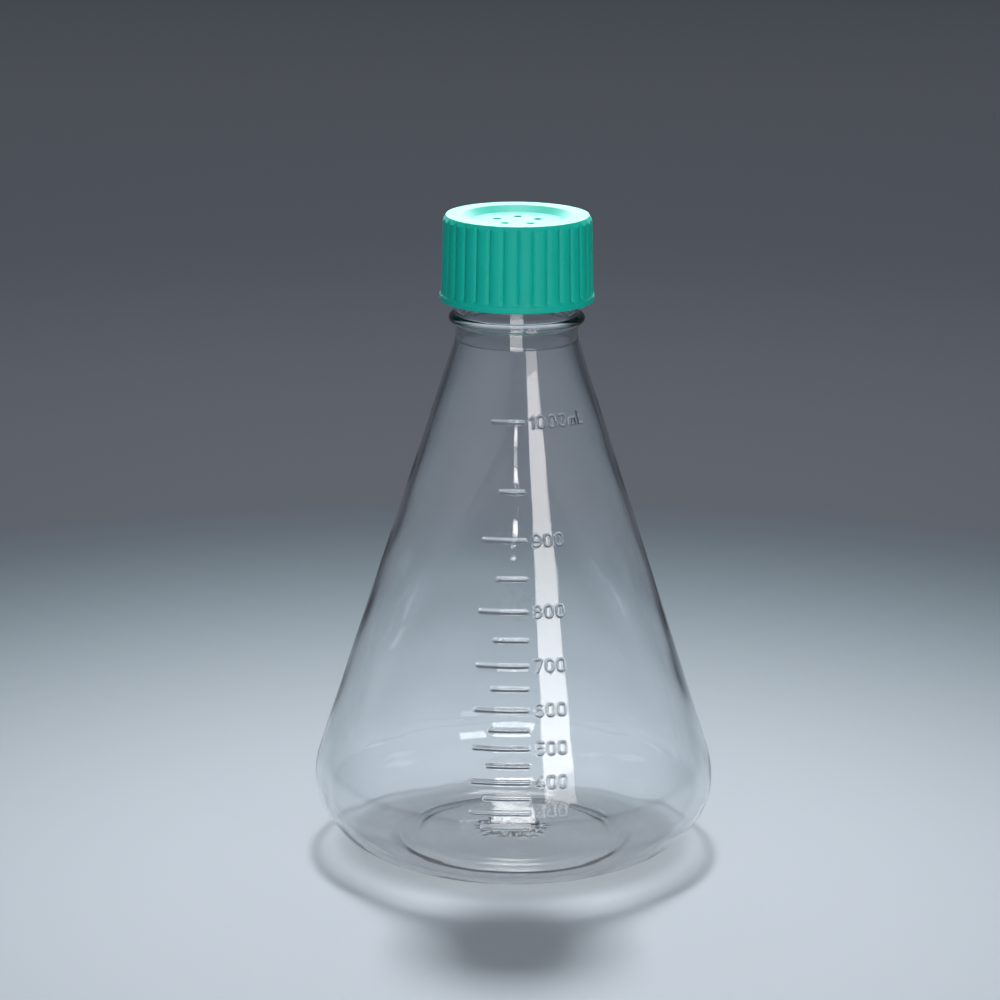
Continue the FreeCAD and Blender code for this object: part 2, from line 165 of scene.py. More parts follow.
class Outline:
    """A half section as points (radius, height), with each stretch divided into whole coarse rows."""

    def __init__(self, r, z, fine=1):
        self.points = [(r, z)]
        self.fine = fine
        self.marks = {}

    def line(self, r, z, rows=1):
        r0, z0 = self.points[-1]
        count = rows * self.fine
        for i in range(1, count + 1):
            t = i / count
            self.points.append((r0 + (r - r0) * t, z0 + (z - z0) * t))
        return self

    def arc(self, centre, radius, first, last, rows):
        """Round stretch; the angles are above the horizontal, in radians."""
        count = rows * self.fine
        for i in range(1, count + 1):
            t = first + (last - first) * i / count
            self.points.append((centre[0] + radius * math.cos(t), centre[1] + radius * math.sin(t)))
        return self

    def curve(self, function, r, rows):
        """Stretch whose height is a function of its radius."""
        r0 = self.points[-1][0]
        count = rows * self.fine
        for i in range(1, count + 1):
            x = r0 + (r - r0) * i / count
            self.points.append((x, function(x)))
        return self

    def corner(self, r, z, toward_r, toward_z, radius, rows=3):
        """Straight to a corner and round it, leaving towards the next point."""
        r0, z0 = self.points[-1]
        back = np.array([r0 - r, z0 - z])
        ahead = np.array([toward_r - r, toward_z - z])
        back = back / np.linalg.norm(back)
        ahead = ahead / np.linalg.norm(ahead)
        half = math.acos(np.clip(back @ ahead, -1, 1)) / 2
        reach = radius / math.tan(half)
        start = np.array([r, z]) + back * reach
        end = np.array([r, z]) + ahead * reach
        if math.hypot(start[0] - r0, start[1] - z0) > 1e-6:
            self.line(start[0], start[1], 1)
        count = rows * self.fine
        for i in range(1, count + 1):
            t = i / count
            p = (1 - t) ** 2 * start + 2 * t * (1 - t) * np.array([r, z]) + t**2 * end
            self.points.append((p[0], p[1]))
        return self

    def note(self, name):
        """Remembers the coarse row reached so far."""
        self.marks[name] = (len(self.points) - 1) // self.fine
        return self


def on_arc(centre, radius, angle):
    return centre[0] + radius * math.cos(angle), centre[1] + radius * math.sin(angle)


BELLY_HEIGHT = HEEL_LOWER_RADIUS - (HEEL_LOWER_RADIUS - HEEL_UPPER_RADIUS) * math.sin(HEEL_BREAK)
UPPER_CENTRE = (BELLY_RADIUS - HEEL_UPPER_RADIUS, BELLY_HEIGHT)
BREAK_POINT = on_arc(UPPER_CENTRE, HEEL_UPPER_RADIUS, -HEEL_BREAK)
LOWER_CENTRE = (BREAK_POINT[0] - HEEL_LOWER_RADIUS * math.cos(HEEL_BREAK), HEEL_LOWER_RADIUS)
BELLY_CENTRE = (BELLY_RADIUS - BELLY_ARC, BELLY_HEIGHT)
BORE_RADIUS = WAIST_RADIUS - NECK_WALL


def side_radius(z, inset=0.0):
    """Radius of the wall at any height up to the shoulder, inset square to the wall."""
    cone_low = on_arc(BELLY_CENTRE, BELLY_ARC - inset, CONE_ANGLE)
    if z >= cone_low[1]:
        return cone_low[0] - (z - cone_low[1]) * math.tan(CONE_ANGLE)
    if z >= BELLY_HEIGHT:
        centre, radius = BELLY_CENTRE, BELLY_ARC - inset
    elif z >= UPPER_CENTRE[1] - (HEEL_UPPER_RADIUS - inset) * math.sin(HEEL_BREAK):
        centre, radius = UPPER_CENTRE, HEEL_UPPER_RADIUS - inset
    else:
        centre, radius = LOWER_CENTRE, HEEL_LOWER_RADIUS - inset
    return centre[0] + math.sqrt(max(radius**2 - (z - centre[1]) ** 2, 0))


def punt_height(r):
    return PUNT_HEIGHT - (PUNT_HEIGHT - PUNT_STEP) * (r / PUNT_RADIUS) ** 2


def mark_heights():
    """Height of each volume mark: the level that its volume of liquid reaches inside."""
    step = 0.02
    heights = {}
    volume = 0.0
    z = WALL
    mark = FIRST_MARK
    floor = PUNT_STEP + BASE_THICKNESS
    dome_height = PUNT_HEIGHT - PUNT_STEP
    while mark <= LAST_MARK:
        hidden = PUNT_RADIUS if z < floor else 0.0
        volume += math.pi * (side_radius(z, WALL) ** 2 - hidden**2) * step / 1000
        if z - step < floor <= z:
            volume -= math.pi * PUNT_RADIUS**2 * dome_height / 2 / 1000
        z += step
        if volume >= mark:
            heights[mark] = z
            mark += MARK_STEP
    return heights


def mark_length(mark):
    emptied = (LAST_MARK - mark) / (LAST_MARK - FIRST_NUMERAL)
    if mark % 100:
        return SHORT_MARK_LEAST + SHORT_MARK_GAIN * emptied**0.75
    return LONG_MARK_LEAST + LONG_MARK_GAIN * emptied**0.5


# ---------------------------------------------------------------- meshes from outlines


def waves(points, seed, count, low, high):
    """Smooth noise near -1 to 1 at points (n, 3) in millimetres: a sum of waves.

    low and high are the shortest and longest wavelengths.
    """
    rng = np.random.default_rng(seed)
    total = np.zeros(len(points))
    for _ in range(count):
        way = rng.normal(size=3)
        way /= np.linalg.norm(way)
        length = low * (high / low) ** rng.random()
        total += np.sin(points @ way * 2 * math.pi / length + rng.random() * 2 * math.pi)
    return total / math.sqrt(count / 2) / 1.6


def lathe(name, outline, columns, shift=None, refined=None):
    """A closed round solid from an outline that starts and ends on the axis or on itself.

    shift(rows, angles, r, z) gives each vertex's move along the outline's outward normal
    and its move along its radius.
    refined(row, column) picks the coarse cells that are divided FINE times each way.
    Angles are counted to the right from the front."""
    k = outline.fine
    profile = np.array(outline.points)
    rows = (len(profile) - 1) // k
    on_axis = profile[0, 0] < 1e-6
    if not on_axis:
        profile[-1] = profile[0]
    tangent = np.gradient(profile, axis=0)
    if not on_axis:
        ends = profile[1] - profile[-2]
        tangent[0] = tangent[-1] = ends
    tangent /= np.maximum(np.linalg.norm(tangent, axis=1, keepdims=True), 1e-9)
    normal = np.stack([tangent[:, 1], -tangent[:, 0]], axis=1)
    index = {}
    keys = []

    def vertex(i, j):
        j %= columns * k
        if not on_axis and i == rows * k:
            i = 0
        if on_axis and i in (0, rows * k):
            j = 0
        key = (i, j)
        if key not in index:
            index[key] = len(keys)
            keys.append(key)
        return index[key]

    fine_cells = set()
    if refined is not None:
        fine_cells = {(a, b) for a in range(rows) for b in range(columns) if refined(a, b)}
    for a, b in sorted(fine_cells):
        for i in range(k + 1):
            for j in range(k + 1):
                vertex(a * k + i, b * k + j)
    faces = []
    for a in range(rows):
        for b in range(columns):
            i, j = a * k, b * k
            if (a, b) in fine_cells:
                for p in range(k):
                    for q in range(k):
                        row = i + p
                        column = j + q
                        near = ((row, column), (row, column + 1))
                        corners = near + ((row + 1, column + 1), (row + 1, column))
                        faces.append([vertex(*c) for c in corners])
                continue
            left, right = (a, (b - 1) % columns), (a, (b + 1) % columns)
            below = range(k + 1) if (a - 1, b) in fine_cells else (0, k)
            above = range(k + 1) if (a + 1, b) in fine_cells else (0, k)
            rightward = range(1, k) if right in fine_cells else ()
            leftward = range(1, k) if left in fine_cells else ()
            loop = [vertex(i, j + q) for q in below]
            loop += [vertex(i + p, j + k) for p in rightward]
            loop += [vertex(i + k, j + q) for q in reversed(above)]
            loop += [vertex(i + p, j) for p in reversed(leftward)]
            face = [v for n, v in enumerate(loop) if v != loop[n - 1]]
            if len(face) > 2:
                faces.append(face)
    rows_of = np.array([key[0] for key in keys])
    angles = np.array([key[1] for key in keys]) * 2 * math.pi / (columns * k)
    r = profile[rows_of, 0].copy()
    z = profile[rows_of, 1].copy()
    if shift is not None:
        along, outward = shift(rows_of, angles, r, z)
        r = r + normal[rows_of, 0] * along + outward
        z = z + normal[rows_of, 1] * along
    points = np.stack([r * np.sin(angles), -r * np.cos(angles), z], axis=1) * MM
    mesh = bpy.data.meshes.new(name)
    mesh.from_pydata(points.tolist(), [], faces)
    mesh.validate()
    mesh.shade_smooth()
    obj = bpy.data.objects.new(name, mesh)
    bpy.context.scene.collection.objects.link(obj)
    return obj


def helix_height(angles, z, low, first_turn, last_turn):
    """How much of a thread ridge stands at each point, 0 to 1.

    The thread's angle runs counter-clockwise from +X.
    """
    base_turn = ((angles - math.pi / 2) / (2 * math.pi)) % 1.0
    best = np.zeros(len(z))
    for whole in range(math.floor(first_turn), math.ceil(last_turn)):
        turn = base_turn + whole
        inside = (turn >= first_turn) & (turn <= last_turn)
        from_end = np.minimum(turn - first_turn, last_turn - turn)
        grown = np.clip(from_end / RUN_OUT, 0, 1)
        away = np.abs(z - (low + LEAD * turn))
        slope = (THREAD_HALF_BASE - away) / (THREAD_HALF_BASE - THREAD_HALF_CREST)
        ridge = np.clip(slope, 0, 1)
        ridge = ridge * ridge * (3 - 2 * ridge)
        best = np.maximum(best, np.where(inside, ridge * grown * grown * (3 - 2 * grown), 0))
    return best


# ---------------------------------------------------------------- numerals


def bow(centre, radius, first, last):
    """Points along an arc, counter-clockwise in degrees."""
    count = max(3, round(abs(last - first) / 15) + 1)
    turns = np.radians(np.linspace(first, last, count))
    return [(centre[0] + radius * math.cos(t), centre[1] + radius * math.sin(t)) for t in turns]


def glyph(sign):
    """A numeral's or letter's strokes as lists of points, and its width. It stands on y = 0 from x = 0."""
    w = NUMERAL_WIDTH
    h = NUMERAL_HEIGHT
    half = w / 2
    quarter = h / 4
    low = half
    high = h - half
    if sign == "0":
        return [bow((half, high), half, 0, 180) + bow((half, low), half, 180, 360) + [(w, high)]], w
    if sign == "1":
        return [[(0.8, 0), (0.8, h), (0, h - 0.8)]], 0.8
    if sign == "3":
        return [bow((half, 3 * quarter), quarter, 150, -90), bow((half, quarter), quarter, 90, -150)], w
    if sign == "4":
        leg = 0.7 * w
        bar = 0.28 * h
        return [[(leg, 0), (leg, h), (0, bar), (w, bar)]], w
    if sign == "5":
        return [bow((half, low), half, -150, 130) + [(0.1 * w, h), (w, h)]], w
    if sign == "6":
        return [bow((half, low), half, 0, 360), [(0, low)] + bow((half, high), half, 180, 40)], w
    if sign == "7":
        return [[(0, h), (w, h), (0.35 * w, 0)]], w
    if sign == "8":
        small = 0.24 * h
        large = 0.28 * h
        return [bow((half, h - small), small, 0, 360), bow((half, large), large, 0, 360)], w
    if sign == "9":
        return [bow((half, high), half, 0, 360), [(w, high)] + bow((half, low), half, 360, 220)], w
    if sign == "m":
        arch = 0.62
        top = 0.58 * h - arch
        strokes = [[(0, 0), (0, top + arch)]]
        for k in (1, 3):
            strokes.append(bow((k * arch, top), arch, 180, 0) + [((k + 1) * arch, 0)])
        return strokes, 4 * arch
    return [[(0, h), (0, 0), (0.75 * w, 0)]], 0.75 * w


class Relief:
    """One raised mark or character: strokes laid on the wall about a middle angle and height."""

    def __init__(self, strokes, angle, z, radius, proud, reach):
        self.strokes = strokes
        self.angle = angle
        self.z = z
        self.radius = radius
        self.proud = proud
        self.reach = reach
        points = np.array([p for stroke in strokes for p in stroke])
        self.low = points.min(axis=0) - reach
        self.high = points.max(axis=0) + reach

    def flat(self, angles, z):
        """Where points of the wall lie on the relief's own plane."""
        turned = (angles - self.angle + math.pi) % (2 * math.pi) - math.pi
        return np.stack([turned * self.radius, (z - self.z) / math.cos(CONE_ANGLE)], axis=-1)

    def near(self, angle, z, margin_angle, margin_z):
        x, y = self.flat(angle, z)
        wide, tall = margin_angle * self.radius, margin_z
        inside_x = self.low[0] - wide <= x <= self.high[0] + wide
        return inside_x and self.low[1] - tall <= y <= self.high[1] + tall

    def height(self, angles, z):
        p = self.flat(angles, z)
        out = np.zeros(len(z))
        inside = np.all((p >= self.low) & (p <= self.high), axis=1)
        q = p[inside]
        away = np.full(len(q), 1e9)
        for stroke in self.strokes:
            for a, b in zip(np.array(stroke), np.array(stroke)[1:]):
                span = b - a
                t = np.clip(((q - a) @ span) / max(span @ span, 1e-12), 0, 1)
                away = np.minimum(away, np.linalg.norm(q - (a + t[:, None] * span), axis=1))
        share = np.clip(away / self.reach, 0, 1)
        out[inside] = self.proud * np.cos(share * math.pi / 2) ** 2
        return out


def reliefs():
    found = []
    for mark, z in mark_heights().items():
        r = side_radius(z)
        length = mark_length(mark)
        found.append(Relief([[(-length, 0), (0, 0)]], MARK_END, z, r, MARK_PROUD, MARK_REACH))
        if mark % 100 or mark < FIRST_NUMERAL:
            continue
        text = str(mark) + ("mL" if mark == LAST_MARK else "")
        lift = FIRST_NUMERAL_LIFT if mark == FIRST_NUMERAL else 0
        along = MARK_END * r + NUMERAL_GAP
        for sign in text:
            strokes, width = glyph(sign)
            centred = [[(x, y - NUMERAL_HEIGHT / 2) for x, y in stroke] for stroke in strokes]
            found.append(Relief(centred, along / r, z + lift, r, NUMERAL_PROUD, NUMERAL_REACH))
            along += width + NUMERAL_SPACE
    return found


# ---------------------------------------------------------------- the clear body


def body_outline():
    """The whole section of the blown body: up the outside, over the lip and down the inside."""
    cone_end = side_radius(SHOULDER_LOW)
    shoulder_high = SHOULDER_LOW + SHOULDER_RISE
    bead_core = BEAD_RADIUS - BEAD_HEIGHT / 2
    bead_middle = BEAD_LOW + BEAD_HEIGHT / 2
    bead_high = BEAD_LOW + BEAD_HEIGHT
    lip_level = LIP_HEIGHT - LIP_ROUND
    o = Outline(0, PUNT_HEIGHT, FINE)
    o.line(GATE_RADIUS, PUNT_HEIGHT, 16)
    o.note("gate_outside")
    o.curve(punt_height, PUNT_RADIUS - 5.0, 14)
    o.corner(PUNT_RADIUS - 3.0, punt_height(PUNT_RADIUS), LAND_INNER + 1.5, 0, 12.0, 5)
    o.corner(LAND_INNER + 1.5, 0, LOWER_CENTRE[0], 0, 6.0, 5)
    o.line(LOWER_CENTRE[0], 0, 1)
    o.arc(LOWER_CENTRE, HEEL_LOWER_RADIUS, -math.pi / 2, -HEEL_BREAK, 22)
    o.arc(UPPER_CENTRE, HEEL_UPPER_RADIUS, -HEEL_BREAK, 0, 11)
    o.note("belly")
    o.arc(BELLY_CENTRE, BELLY_ARC, 0, CONE_ANGLE, 7)
    o.line(side_radius(SHOULDER_LOW - 2.0), SHOULDER_LOW - 2.0, 106)
    o.note("cone_end")
    o.corner(cone_end, SHOULDER_LOW, WAIST_RADIUS, BEAD_LOW, 1.2, 3)
    o.corner(WAIST_RADIUS, BEAD_LOW, bead_core, BEAD_LOW, 0.6)
    o.line(bead_core, BEAD_LOW, 1)
    o.arc((bead_core, bead_middle), BEAD_HEIGHT / 2, -math.pi / 2, math.pi / 2, 12)
    o.corner(FINISH_RADIUS, bead_high, FINISH_RADIUS, lip_level, 0.3)
    o.line(FINISH_RADIUS, NECK_THREAD_LOW - 2.5, 6)
    o.note("thread_low")
    o.line(FINISH_RADIUS, LIP_HEIGHT - 1.5, 46)
    o.note("thread_high")
    o.line(FINISH_RADIUS, lip_level, 1)
    o.arc((FINISH_RADIUS - LIP_ROUND, lip_level), LIP_ROUND, 0, math.pi / 2, 4)
    o.line(BORE_RADIUS + LIP_ROUND, LIP_HEIGHT, 2)
    o.arc((BORE_RADIUS + LIP_ROUND, lip_level), LIP_ROUND, math.pi / 2, math.pi, 4)
    o.note("inside")
    bore_low = shoulder_high - WALL / 2
    o.line(BORE_RADIUS, bore_low + 5, 22)
    below = bore_low - 10
    o.corner(BORE_RADIUS, bore_low, side_radius(below, NECK_WALL), below, 3.0, 4)
    cone_low = on_arc(BELLY_CENTRE, BELLY_ARC - WALL, CONE_ANGLE)
    o.line(cone_low[0], cone_low[1], 90)
    o.arc(BELLY_CENTRE, BELLY_ARC - WALL, CONE_ANGLE, 0, 7)
    o.arc(UPPER_CENTRE, HEEL_UPPER_RADIUS - WALL, 0, -HEEL_BREAK, 11)
    o.arc(LOWER_CENTRE, HEEL_LOWER_RADIUS - WALL, -HEEL_BREAK, -math.pi / 2, 20)
    punt_edge = (PUNT_RADIUS, PUNT_STEP + BASE_THICKNESS)
    o.corner(punt_edge[0], punt_edge[1], 0, PUNT_HEIGHT + BASE_THICKNESS, 9.0, 5)
    o.curve(lambda r: punt_height(r) + BASE_THICKNESS, GATE_RADIUS + 1, 14)
    o.note("gate_inside")
    o.curve(lambda r: punt_height(r) + BASE_THICKNESS, 0, 18)
    return o


MARKED_ANGLE = 0.9  # only cells within this angle of the front are refined


def make_body():
    outline = body_outline()
    marks = outline.marks
    raised = reliefs()
    profile = np.array(outline.points)
    half_column = math.pi / BODY_COLUMNS

    def shift(rows, angles, r, z):
        at = rows / FINE
        r0 = r.copy()
        points = np.stack([r0 * np.sin(angles), -r0 * np.cos(angles), z], axis=1)
        along = np.zeros(len(r))
        outside = (at > marks["belly"] - 4) & (at < marks["cone_end"])
        lifted = np.zeros(outside.sum())
        for relief in raised:
            lifted = np.maximum(lifted, relief.height(angles[outside], z[outside]))
        along[outside] += lifted
        inner = at > marks["inside"]
        along[inner] += 0.07 * waves(points[inner], 11, 14, 16, 60)
        faces = ((at < marks["gate_outside"] + 2, 7, 0.0), (at > marks["gate_inside"] - 2, 5, GATE_RISE))
        for near, seed, lift in faces:
            edge = np.clip((GATE_RADIUS + 0.8 - r0[near]) / 1.6, 0, 1)
            edge = edge * edge * (3 - 2 * edge)
            along[near] += edge * (lift + GATE_ROUGHNESS * waves(points[near], seed, 26, 1.6, 5.0))
        outward = np.zeros(len(r))
        neck = (at >= marks["thread_low"]) & (at <= marks["thread_high"])
        ridge = helix_height(angles[neck], z[neck], NECK_THREAD_LOW, 0, NECK_THREAD_TURNS)
        outward[neck] += ridge * (NECK_THREAD_RADIUS - FINISH_RADIUS)
        pole = r0 < 1e-6
        along[pole] = 0
        outward[pole] = 0
        return along, outward

    def refined(row, column):
        if not marks["belly"] <= row < marks["cone_end"]:
            return False
        angle = (column + 0.5) * 2 * half_column
        if MARKED_ANGLE < angle < 2 * math.pi - MARKED_ANGLE:
            return False
        z0 = profile[row * FINE, 1]
        z1 = profile[(row + 1) * FINE, 1]
        return any(m.near(angle, (z0 + z1) / 2, half_column, (z1 - z0) / 2) for m in raised)

    return lathe("clear_body", outline, BODY_COLUMNS, shift, refined)


# ---------------------------------------------------------------- the cap

RIM_HALF = 0.6  # half width of the rows that lead from the flat top to the skirt
VENT_MARGIN = 1.0  # finer rows reach this far past the vent holes
BAND_BLEND = 1.5  # the ribs run into the band over this height above and below its top
SKIRT_ROUND = 0.45  # rounding of the skirt's lower edge


def smooth_max(a, b, soft):
    return 0.5 * (a + b + np.sqrt((a - b) ** 2 + soft**2))


def rib_shape(angles):
    """1 on a rib's crest and 0 in the groove between two ribs."""
    pitch = 2 * math.pi / RIB_COUNT
    off = np.abs((angles - RIB_PHASE + pitch / 2) % pitch - pitch / 2) / (pitch / 2)
    return np.clip(1 - off**2.6, 0, 1) ** 0.75


def cap_outline():
    """Section of the cap: from the middle of the recess over the rim, down the skirt and up the inside."""
    floor = CAP_TOP - RECESS_DEPTH
    o = Outline(0, floor)
    o.line(VENT_CIRCLE - VENT_RADIUS - VENT_MARGIN, floor, 4)
    o.line(VENT_CIRCLE + VENT_RADIUS + VENT_MARGIN, floor, 10)
    o.line(RECESS_FLOOR_RADIUS - 1, floor, 3)
    o.corner(RECESS_FLOOR_RADIUS, floor, RECESS_RADIUS, CAP_TOP, 0.5, 4)
    o.corner(RECESS_RADIUS, CAP_TOP, TOP_FLAT_RADIUS, CAP_TOP, 0.45, 4)
    o.line(TOP_FLAT_RADIUS - RIM_HALF, CAP_TOP, 3)
    o.note("rim")
    o.line(TOP_FLAT_RADIUS + RIM_HALF, CAP_TOP, 6)
    o.note("skirt_top")
    o.line(TOP_FLAT_RADIUS + RIM_HALF, CAP_TOP - 2.6, 20)
    o.line(TOP_FLAT_RADIUS + RIM_HALF, CAP_BOTTOM + BAND_HEIGHT + BAND_BLEND, 16)
    o.line(TOP_FLAT_RADIUS + RIM_HALF, CAP_BOTTOM + BAND_HEIGHT - BAND_BLEND, 16)
    o.line(TOP_FLAT_RADIUS + RIM_HALF, CAP_BOTTOM + SKIRT_ROUND, 3)
    o.line(TOP_FLAT_RADIUS + RIM_HALF, CAP_BOTTOM, 4)
    o.note("skirt_low")
    inner = CAP_BORE_RADIUS
    o.line(inner + 0.8, CAP_BOTTOM, 1)
    o.corner(inner + 0.5, CAP_BOTTOM, inner, CAP_BOTTOM + 0.8, 0.15, 2)
    o.corner(inner, CAP_BOTTOM + 0.8, inner, CAP_BOTTOM + 4, 0.3, 2)
    o.note("bore_low")
    o.line(inner, SEAL_HIGH - 4.5, 50)
    o.note("bore_high")
    o.corner(inner, SEAL_HIGH, BOSS_RADIUS, SEAL_HIGH, 0.4, 3)
    o.corner(BOSS_RADIUS, SEAL_HIGH, BOSS_RADIUS, CEILING, 0.2, 2)
    o.corner(BOSS_RADIUS, CEILING, SEAT_OUTER, CEILING, 0.3, 3)
    o.corner(SEAT_OUTER, CEILING, SEAT_OUTER, CEILING - SEAT_HEIGHT, 0.2, 2)
    o.corner(SEAT_OUTER, CEILING - SEAT_HEIGHT, SEAT_INNER, CEILING - SEAT_HEIGHT, 0.25, 3)
    o.corner(SEAT_INNER, CEILING - SEAT_HEIGHT, SEAT_INNER, CEILING, 0.25, 3)
    o.corner(SEAT_INNER, CEILING, 0, CEILING, 0.05, 1)
    o.line(VENT_CIRCLE + VENT_RADIUS + VENT_MARGIN, CEILING, 3)
    o.line(VENT_CIRCLE - VENT_RADIUS - VENT_MARGIN, CEILING, 10)
    o.line(0, CEILING, 4)
    return o


def make_cap():
    outline = cap_outline()
    marks = outline.marks
    bevel_slope = (RIB_RADIUS_TOP - TOP_FLAT_RADIUS) / TOP_BEVEL
    band_top = CAP_BOTTOM + BAND_HEIGHT

    def skirt_radius(angles, z):
        """Radius of the outside at a height: drafted ribs between the bevel above and the band below."""
        rise = (z - CAP_BOTTOM) / (CAP_TOP - CAP_BOTTOM)
        crest = RIB_RADIUS_LOW + (RIB_RADIUS_TOP - RIB_RADIUS_LOW) * rise
        ribbed = crest - RIB_DEPTH * (1 - rib_shape(angles))
        bevel = TOP_FLAT_RADIUS + (CAP_TOP - z) * bevel_slope
        cut = -smooth_max(-ribbed, -bevel, 0.12)
        band = BAND_RADIUS - 0.03 - np.maximum(z - (band_top - BAND_BLEND), 0) * 0.8
        low_round = np.clip((CAP_BOTTOM + SKIRT_ROUND - z) / SKIRT_ROUND, 0, 1)
        joined = smooth_max(cut, band, 0.3)
        joined = np.minimum(joined, BAND_RADIUS)
        return joined - SKIRT_ROUND * (1 - np.sqrt(1 - low_round**2))

    def shift(rows, angles, r, z):
        along = np.zeros(len(r))
        outward = np.zeros(len(r))
        skirt = (rows >= marks["skirt_top"]) & (rows <= marks["skirt_low"])
        outward[skirt] = skirt_radius(angles[skirt], z[skirt]) - r[skirt]
        rim = (rows > marks["rim"]) & (rows < marks["skirt_top"])
        share = (r[rim] - (TOP_FLAT_RADIUS - RIM_HALF)) / (2 * RIM_HALF)
        edge = skirt_radius(angles[rim], np.full(rim.sum(), CAP_TOP))
        outward[rim] = TOP_FLAT_RADIUS - RIM_HALF + share * (edge - TOP_FLAT_RADIUS + RIM_HALF) - r[rim]
        bore = (rows >= marks["bore_low"]) & (rows <= marks["bore_high"])
        low = NECK_THREAD_LOW - CAP_THREAD_BELOW
        ridge = helix_height(angles[bore], z[bore], low, CAP_THREAD_FIRST_TURN, CAP_THREAD_LAST_TURN)
        outward[bore] = -ridge * (CAP_BORE_RADIUS - CAP_THREAD_RADIUS)
        return along, outward

    cap = lathe("ribbed_cap", outline, CAP_COLUMNS, shift)
    return drilled(cap)


def drilled(cap):
    """Cuts the vent holes, each with a small softened edge on top."""
    floor = CAP_TOP - RECESS_DEPTH
    cutters = []
    for k in range(VENT_COUNT):
        o = Outline(0, CEILING - 1)
        o.line(VENT_RADIUS, CEILING - 1, 1)
        o.line(VENT_RADIUS, floor - 0.3, 2)
        o.line(VENT_RADIUS + 0.08, floor - 0.1, 1)
        o.line(VENT_RADIUS + 0.3, floor + 0.02, 1)
        o.line(VENT_RADIUS + 0.3, floor + 1, 1)
        o.line(0, floor + 1, 1)
        cutter = lathe(f"cutter_{k}", o, 40)
        angle = math.pi + 2 * math.pi * k / VENT_COUNT
        place = Vector((math.sin(angle), -math.cos(angle), 0)) * VENT_CIRCLE * MM
        cutter.data.transform(Matrix.Translation(place))
        cutters.append(cutter)
    for cutter in cutters:
        cut = cap.modifiers.new(cutter.name, "BOOLEAN")
        cut.operation = "DIFFERENCE"
        cut.solver = "EXACT"
        cut.object = cutter
    bpy.context.view_layer.update()
    made = bpy.data.meshes.new_from_object(cap.evaluated_get(bpy.context.evaluated_depsgraph_get()))
    cap.modifiers.clear()
    cap.data = made
    made.shade_smooth()
    made.set_sharp_from_angle(angle=math.radians(40))
    for cutter in cutters:
        bpy.data.objects.remove(cutter)
    return cap


# ---------------------------------------------------------------- the pieces inside the cap


def make_ring(name, inner, outer, low, high, soft):
    """A round ring with softened edges."""
    o = Outline((inner + outer) / 2, low)
    o.corner(outer, low, outer, high, soft, 4)
    o.corner(outer, high, inner, high, soft, 4)
    o.corner(inner, high, inner, low, soft, 4)
    o.corner(inner, low, outer, low, soft, 4)
    o.line((inner + outer) / 2, low, 1)
    return lathe(name, o, RING_COLUMNS)


def make_membrane():
    """The thin vent disc, slightly dimpled where gas passes."""
    radius = node_radius("vent_membrane")
    o = Outline(0, MEMBRANE_LOW)
    o.line(radius - 0.1, MEMBRANE_LOW, 24)
    o.corner(radius, MEMBRANE_LOW, radius, MEMBRANE_HIGH, 0.08, 2)
    o.note("edge")
    o.corner(radius, MEMBRANE_HIGH, 0, MEMBRANE_HIGH, 0.08, 2)
    o.line(0, MEMBRANE_HIGH, 24)

    def shift(rows, angles, r, z):
        points = np.stack([r * np.sin(angles), -r * np.cos(angles), z * 0], axis=1)
        dimple = 0.05 * (waves(points, 3, 12, 3, 9) - 1.2)
        free = np.clip((radius - 3 - r) / 2, 0, 1)
        upper = rows > o.marks["edge"]
        sunk = 0.5 * np.abs(dimple * free)
        return np.where(upper, -sunk, 0.6 * sunk), np.zeros(len(r))

    return lathe("membrane_disc", o, RING_COLUMNS, shift)


# ---------------------------------------------------------------- materials


def material(name):
    m = bpy.data.materials.new(name)
    m.use_nodes = True
    nodes = m.node_tree.nodes
    nodes.clear()
    return m, nodes, m.node_tree.links


def node(nodes, kind, **values):
    n = nodes.new(kind)
    for key, value in values.items():
        setattr(n, key, value)
    return n


